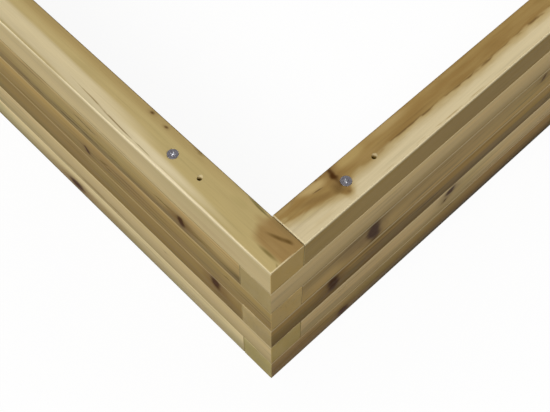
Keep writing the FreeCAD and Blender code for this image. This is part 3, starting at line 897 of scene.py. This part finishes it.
def beam_blank(beam):
    """The planed beam before drilling: long edges rounded, sawn ends eased."""
    blank = bmesh.new()
    bmesh.ops.create_cube(blank, size=1.0)
    bmesh.ops.scale(blank, vec=(2 * beam.half, BEAM_WIDTH, BEAM_HEIGHT), verts=blank.verts)
    middle = (beam.middle, BEAM_WIDTH / 2, BEAM_HEIGHT / 2)
    bmesh.ops.translate(blank, vec=middle, verts=blank.verts)
    arrises = [edge for edge in blank.edges if edge.calc_length() > beam.half]
    bmesh.ops.bevel(blank, geom=arrises, offset=ARRIS_RADIUS, segments=5, profile=0.5,
                    affect="EDGES", material=-1)
    ends = [face for face in blank.faces if abs(face.normal.x) > 0.9]
    rims = [edge for face in ends for edge in face.edges]
    bmesh.ops.bevel(blank, geom=rims, offset=END_CHAMFER, segments=2, profile=0.5,
                    affect="EDGES", material=-1)
    return blank


def to_object(shape, name, placing=Matrix()):
    """A mesh object at the origin from a bmesh, placed in the bed by its mesh."""
    bmesh.ops.transform(shape, matrix=placing, verts=shape.verts)
    bmesh.ops.recalc_face_normals(shape, faces=shape.faces)
    mesh = bpy.data.meshes.new(name)
    shape.to_mesh(mesh)
    shape.free()
    made = bpy.data.objects.new(name, mesh)
    bpy.context.scene.collection.objects.link(made)
    return made


def carve(body, tool):
    """Take the tool away from the body for good."""
    cut = body.modifiers.new("carving", "BOOLEAN")
    cut.operation = "DIFFERENCE"
    cut.solver = "EXACT"
    cut.use_self = True
    cut.object = tool
    bpy.context.view_layer.update()
    shown = body.evaluated_get(bpy.context.evaluated_depsgraph_get())
    whole = body.data
    body.data = bpy.data.meshes.new_from_object(shown)
    body.modifiers.clear()
    bpy.data.meshes.remove(whole)
    bpy.data.objects.remove(tool)


def make_beam(beam, timber):
    body = to_object(beam_blank(beam), f"{beam.wall}_beam_of_course_{beam.course}", beam.placing())
    tool = to_object(beam_cutters(beam, timber), "cutting_tool", beam.placing())
    carve(body, tool)
    body.data.materials.append(pine(beam, timber))
    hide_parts(beam.node)
    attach(body, "root")


def make_bed():
    timbers = photographed_timbers()
    for course in range(1, COURSES + 1):
        for wall in ("front", "back", "left", "right"):
            beam = Beam(course, wall)
            rng = random.Random(f"{wall} {course}")
            timber = timbers.get((course, wall))
            far_end = beam.end / MM
            if timber is None:
                timber = other_timber(rng, seed=course * 10 + len(wall))
                grow_more(rng, timber, beam.start / MM, far_end)
            else:
                grow_more(rng, timber, 400, far_end)
            make_beam(beam, timber)


# -------------------- screws and dowels

def plated_steel(name, head_top):
    """Dull slate plating, and below the heads' flat tops, which are at head_top, patches of
    bright wear with a painted glint and of dull painted shade: in the recesses, on the rims
    and down the shanks."""
    material, wires = new_material(name)
    place = wires.node("ShaderNodeTexCoord").outputs["Object"]
    _, _, high = wires.split(place)
    bloom = wires.noise(place, (700.0, 700.0, 700.0), detail=3.0)
    slate = wires.mix(wires.step(bloom, 0.35, 0.65), SLATE_DARK, SLATE_PALE)
    # Patches of bright wear with a painted glint and of dull painted shade
    wear_glint_and_shade = wires.mix(wires.step(bloom, 0.39, 0.52), DULL_WEAR_AND_SHADE, BRIGHT_WEAR_AND_GLINT)
    colour = wires.mix(wires.step(high, head_top - 0.10 * MM, head_top - 0.30 * MM), slate, wear_glint_and_shade)
    roughness = wires.step(bloom, 0.3, 0.7, 0.30, 0.50)
    finish_surface(wires, colour, roughness, height=bloom, depth=0.03 * MM, Metallic=1.0)
    return material


def dowel_wood():
    """Turned beech: pale, with fine upright pores."""
    material, wires = new_material("dowel_beech")
    place = wires.node("ShaderNodeTexCoord").outputs["Object"]
    pores = wires.noise(place, (1500.0, 1500.0, 120.0), detail=3.0)
    cloud = wires.noise(place, (60.0, 60.0, 12.0))
    colour = wires.mix(cloud, BEECH_DARK, BEECH_PALE)
    colour = wires.mix(wires.step(pores, 0.55, 0.70, 0.0, 0.6), colour, BEECH_PORE)
    finish_surface(wires, colour, 0.62, height=pores, depth=0.05 * MM)
    return material


def add_screw(screws, foot, turn):
    """Spin up one countersunk screw with its head's top at foot plus its length."""
    head = HEAD_DIAMETER / 2
    shank = SHANK_DIAMETER / 2
    cone_foot = SCREW_LENGTH - HEAD_RIM - (head - shank)
    edge = [(head - inward, SCREW_LENGTH - down) for inward, down in HEAD_EDGE]
    profile = [(0, SCREW_LENGTH - HEAD_HOLLOW), *edge, (head, SCREW_LENGTH - HEAD_RIM),
               (shank, cone_foot), (shank, SCREW_POINT), (0, 0)]
    points = [screws.verts.new((across, 0, high)) for across, high in profile]
    edges = [screws.edges.new(pair) for pair in zip(points, points[1:])]
    before = set(screws.verts) - set(points)
    bmesh.ops.spin(screws, geom=points + edges, cent=(0, 0, 0), axis=(0, 0, 1), angle=math.tau,
                   steps=48, use_merge=True, use_duplicate=False)
    fresh = [vert for vert in screws.verts if vert not in before]
    bmesh.ops.transform(screws, matrix=Matrix.Translation(foot) @ Matrix.Rotation(turn, 4, "Z"), verts=fresh)


def add_recess(recesses, foot, turn):
    """The driver's cross: two crossed arms that narrow as they go down."""
    for quarter in (0, math.pi / 2):
        arm = bmesh.ops.create_cube(recesses, size=1.0)["verts"]
        for vert in arm:
            if vert.co.z < 0:
                vert.co.x *= RECESS_FOOT[0]
                vert.co.y *= RECESS_FOOT[1]
        bmesh.ops.scale(recesses, vec=(RECESS_SPAN, RECESS_SLOT, 2 * RECESS_DEPTH), verts=arm)
        for vert in arm:
            vert.co.z = max(-RECESS_DEPTH, min(vert.co.z, OVERCUT))
        top = Matrix.Translation(foot + Vector((0, 0, SCREW_LENGTH)))
        place = top @ Matrix.Rotation(turn + quarter, 4, "Z")
        bmesh.ops.transform(recesses, matrix=place, verts=arm)


def make_rim_screws():
    """The eight screws whose heads show in the rim."""
    rng = random.Random("rim screws")
    screws = bmesh.new()
    recesses = bmesh.new()
    for wall in ("front", "back", "left", "right"):
        beam = Beam(COURSES, wall)
        for along in beam.holes(far=beam.through):
            foot = beam.placing() @ Vector((along, BEAM_WIDTH / 2, BEAM_HEIGHT - SCREW_LENGTH))
            turn = rng.uniform(0, math.pi / 2)
            add_screw(screws, foot, turn)
            add_recess(recesses, foot, turn)
    bmesh.ops.remove_doubles(screws, verts=screws.verts, dist=0.001 * MM)
    piece = to_object(screws, "rim_screws")
    carve(piece, to_object(recesses, "recess_tool"))
    piece.data.materials.append(plated_steel("plated_steel_rim_screws", BED_HIGH.z))
    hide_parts(f"course_{COURSES}_screws")
    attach(piece, "root")


def finish_hidden_fastenings():
    """The sunk screws and the corner dowels keep their CAD shapes and get a finish."""
    beech = dowel_wood()
    for course in range(2, COURSES + 1):
        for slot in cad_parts[f"course_{course}_corner_dowels"].material_slots:
            slot.material = beech
        if course == COURSES:
            continue
        steel = plated_steel(f"plated_steel_course_{course}", course * BEAM_HEIGHT)
        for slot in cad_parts[f"course_{course}_screws"].material_slots:
            slot.material = steel


# -------------------- the studio

def seen_rays(wires):
    """1 for the rays that show a background: to the camera, in metal and through glass."""
    rays = wires.node("ShaderNodeLightPath").outputs
    return wires.total([rays["Is Camera Ray"], rays["Is Glossy Ray"], rays["Is Transmission Ray"]])


def make_floor():
    """A plain pale floor that shows near white to the camera and keeps the bed's shadow."""
    ground = bmesh.new()
    bmesh.ops.create_grid(ground, x_segments=1, y_segments=1, size=FLOOR_REACH)
    bmesh.ops.translate(ground, vec=(0, 0, -FLOOR_DROP), verts=ground.verts)
    floor = to_object(ground, "studio_floor")
    material, wires = new_material("studio_floor")
    seen = seen_rays(wires)
    pale = wires.node("ShaderNodeBsdfDiffuse")
    pale.inputs["Color"].default_value = FLOOR_PALE
    glow = wires.node("ShaderNodeEmission")
    glow.inputs["Color"].default_value = WHITE
    shown = wires.node("ShaderNodeMixShader")
    shown.inputs[0].default_value = FLOOR_SHADE
    wires.feed(shown.inputs[1], glow.outputs[0])
    wires.feed(shown.inputs[2], pale.outputs[0])
    bounce = wires.node("ShaderNodeBsdfDiffuse")
    bounce.inputs["Color"].default_value = FLOOR_BOUNCE
    chosen = wires.node("ShaderNodeMixShader")
    wires.feed(chosen.inputs[0], seen)
    wires.feed(chosen.inputs[1], bounce.outputs[0])
    wires.feed(chosen.inputs[2], shown.outputs[0])
    output = wires.node("ShaderNodeOutputMaterial")
    wires.feed(output.inputs["Surface"], chosen.outputs[0])
    floor.data.materials.append(material)


def make_world():
    """A plain sky: white where it is seen, dimmer as a lamp."""
    world = bpy.data.worlds.new("studio_world")
    bpy.context.scene.world = world
    world.use_nodes = True
    wires = Wires(world.node_tree)
    seen = seen_rays(wires)
    sky = wires.node("ShaderNodeBackground")
    sky.inputs["Color"].default_value = WHITE
    strength = wires.math("MULTIPLY_ADD", seen, SKY_SEEN - SKY_AS_LAMP, SKY_AS_LAMP)
    wires.feed(sky.inputs["Strength"], strength)
    output = wires.node("ShaderNodeOutputWorld")
    wires.feed(output.inputs["Surface"], sky.outputs[0])


def add_sun(name, source, strength, softness):
    """A soft distant lamp that shines from the direction of its source."""
    lamp = bpy.data.lights.new(name, "SUN")
    lamp.energy = strength
    lamp.angle = math.radians(softness)
    holder = bpy.data.objects.new(name, lamp)
    holder.rotation_mode = "QUATERNION"
    holder.rotation_quaternion = Vector(source).to_track_quat("Z", "Y")
    bpy.context.scene.collection.objects.link(holder)


def make_camera():
    camera = bpy.data.cameras.new("camera")
    camera.sensor_width = SENSOR_WIDTH
    camera.lens = FOCAL_LENGTH
    holder = bpy.data.objects.new("camera", camera)
    holder.location = Vector((BED_LOW.x, BED_LOW.y, 0)) + CAMERA_FROM_CORNER
    holder.rotation_euler = (math.radians(90 - CAMERA_ELEVATION), 0, math.radians(CAMERA_AZIMUTH - 90))
    bpy.context.scene.collection.objects.link(holder)
    bpy.context.scene.camera = holder


bpy.context.scene.view_settings.view_transform = "Standard"
make_bed()
make_rim_screws()
finish_hidden_fastenings()
make_floor()
make_world()
add_sun("key_sun", *KEY_SUN)
add_sun("fill_sun", *FILL_SUN)
make_camera()
